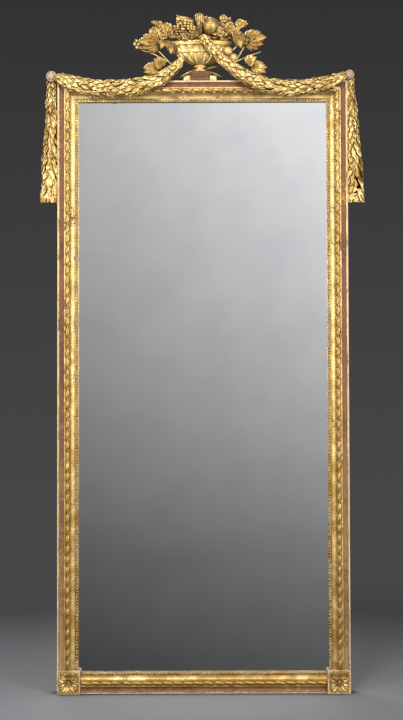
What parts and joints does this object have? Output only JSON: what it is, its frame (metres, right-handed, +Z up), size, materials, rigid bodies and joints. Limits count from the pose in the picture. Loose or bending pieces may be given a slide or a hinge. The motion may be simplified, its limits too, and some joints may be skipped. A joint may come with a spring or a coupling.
{
  "type": "trumeau mirror",
  "caption": "Tall giltwood trumeau mirror with a moulded frame, rosette corner blocks, laurel swags and drops, and a crest with an urn of fruit and flowers.",
  "frame": {"origin": "middle of the bottom rail's underside, halfway through the frame timber", "axes": "+X to the right as seen from the front, +Y to the back, +Z up; the mirror faces -Y"},
  "size_m": [1.1383, 0.1028, 2.3932],
  "materials": {
    "worn_gilding": "water gilding over red bole, worn",
    "gilding": "water gilding, burnished on the high parts",
    "bare_timber": "unfinished softwood and beech",
    "silvered_plate": "silvered glass",
    "iron": "blacked wrought iron"
  },
  "bodies": {
    "mirror": {"back_bottom_rail": "bare_timber", "back_left_stile": "bare_timber", "back_lower_panel": "bare_timber", "back_middle_rail": "bare_timber", "back_right_stile": "bare_timber", "back_top_rail": "bare_timber", "back_upper_panel": "bare_timber", "bottom_pearl_strip": "gilding", "bottom_rail": "worn_gilding", "bottom_ribbon_twist": "gilding", "crest_brace": "iron", "crest_plinth": "worn_gilding", "flower_heap": "worn_gilding", "glue_block_bottom": "bare_timber", "glue_block_left_lower": "bare_timber", "glue_block_left_upper": "bare_timber", "glue_block_right_lower": "bare_timber", "glue_block_right_upper": "bare_timber", "glue_block_top": "bare_timber", "grape_bunch": "gilding", "heap_peg": "bare_timber", "left_button": "gilding", "left_corner_block": "worn_gilding", "left_drop": "gilding", "left_drop_dowel": "bare_timber", "left_hanger_strap": "iron", "left_lower_leaves": "gilding", "left_mitre_key": "bare_timber", "left_pearl_strip": "gilding", "left_ribbon_twist": "gilding", "left_rosette": "gilding", "left_spray": "gilding", "left_stile": "worn_gilding", "left_swag": "gilding", "mirror_plate": "silvered_plate", "pomegranate": "gilding", "poppy_bud": "gilding", "right_button": "gilding", "right_corner_block": "worn_gilding", "right_drop": "gilding", "right_drop_dowel": "bare_timber", "right_hanger_strap": "iron", "right_lower_leaves": "gilding", "right_mitre_key": "bare_timber", "right_pearl_strip": "gilding", "right_ribbon_twist": "gilding", "right_rosette": "gilding", "right_spray": "gilding", "right_stile": "worn_gilding", "right_swag": "gilding", "top_pearl_strip": "gilding", "top_rail": "worn_gilding", "top_ribbon_twist": "gilding", "tulip": "gilding", "urn_bowl": "gilding", "urn_foot": "gilding"},
    "left_ring": {"left_hanger_ring": "iron"},
    "right_ring": {"right_hanger_ring": "iron"}
  },
  "joints": [
    {"name": "left_ring_swing", "type": "hinge", "parent": "mirror", "child": "left_ring", "pos_m": [-0.487, 0.0303, 1.816], "axis": [1, 0, 0], "range_deg": [0, 178]},
    {"name": "right_ring_swing", "type": "hinge", "parent": "mirror", "child": "right_ring", "pos_m": [0.487, 0.0303, 1.816], "axis": [1, 0, 0], "range_deg": [0, 178]}
  ]
}
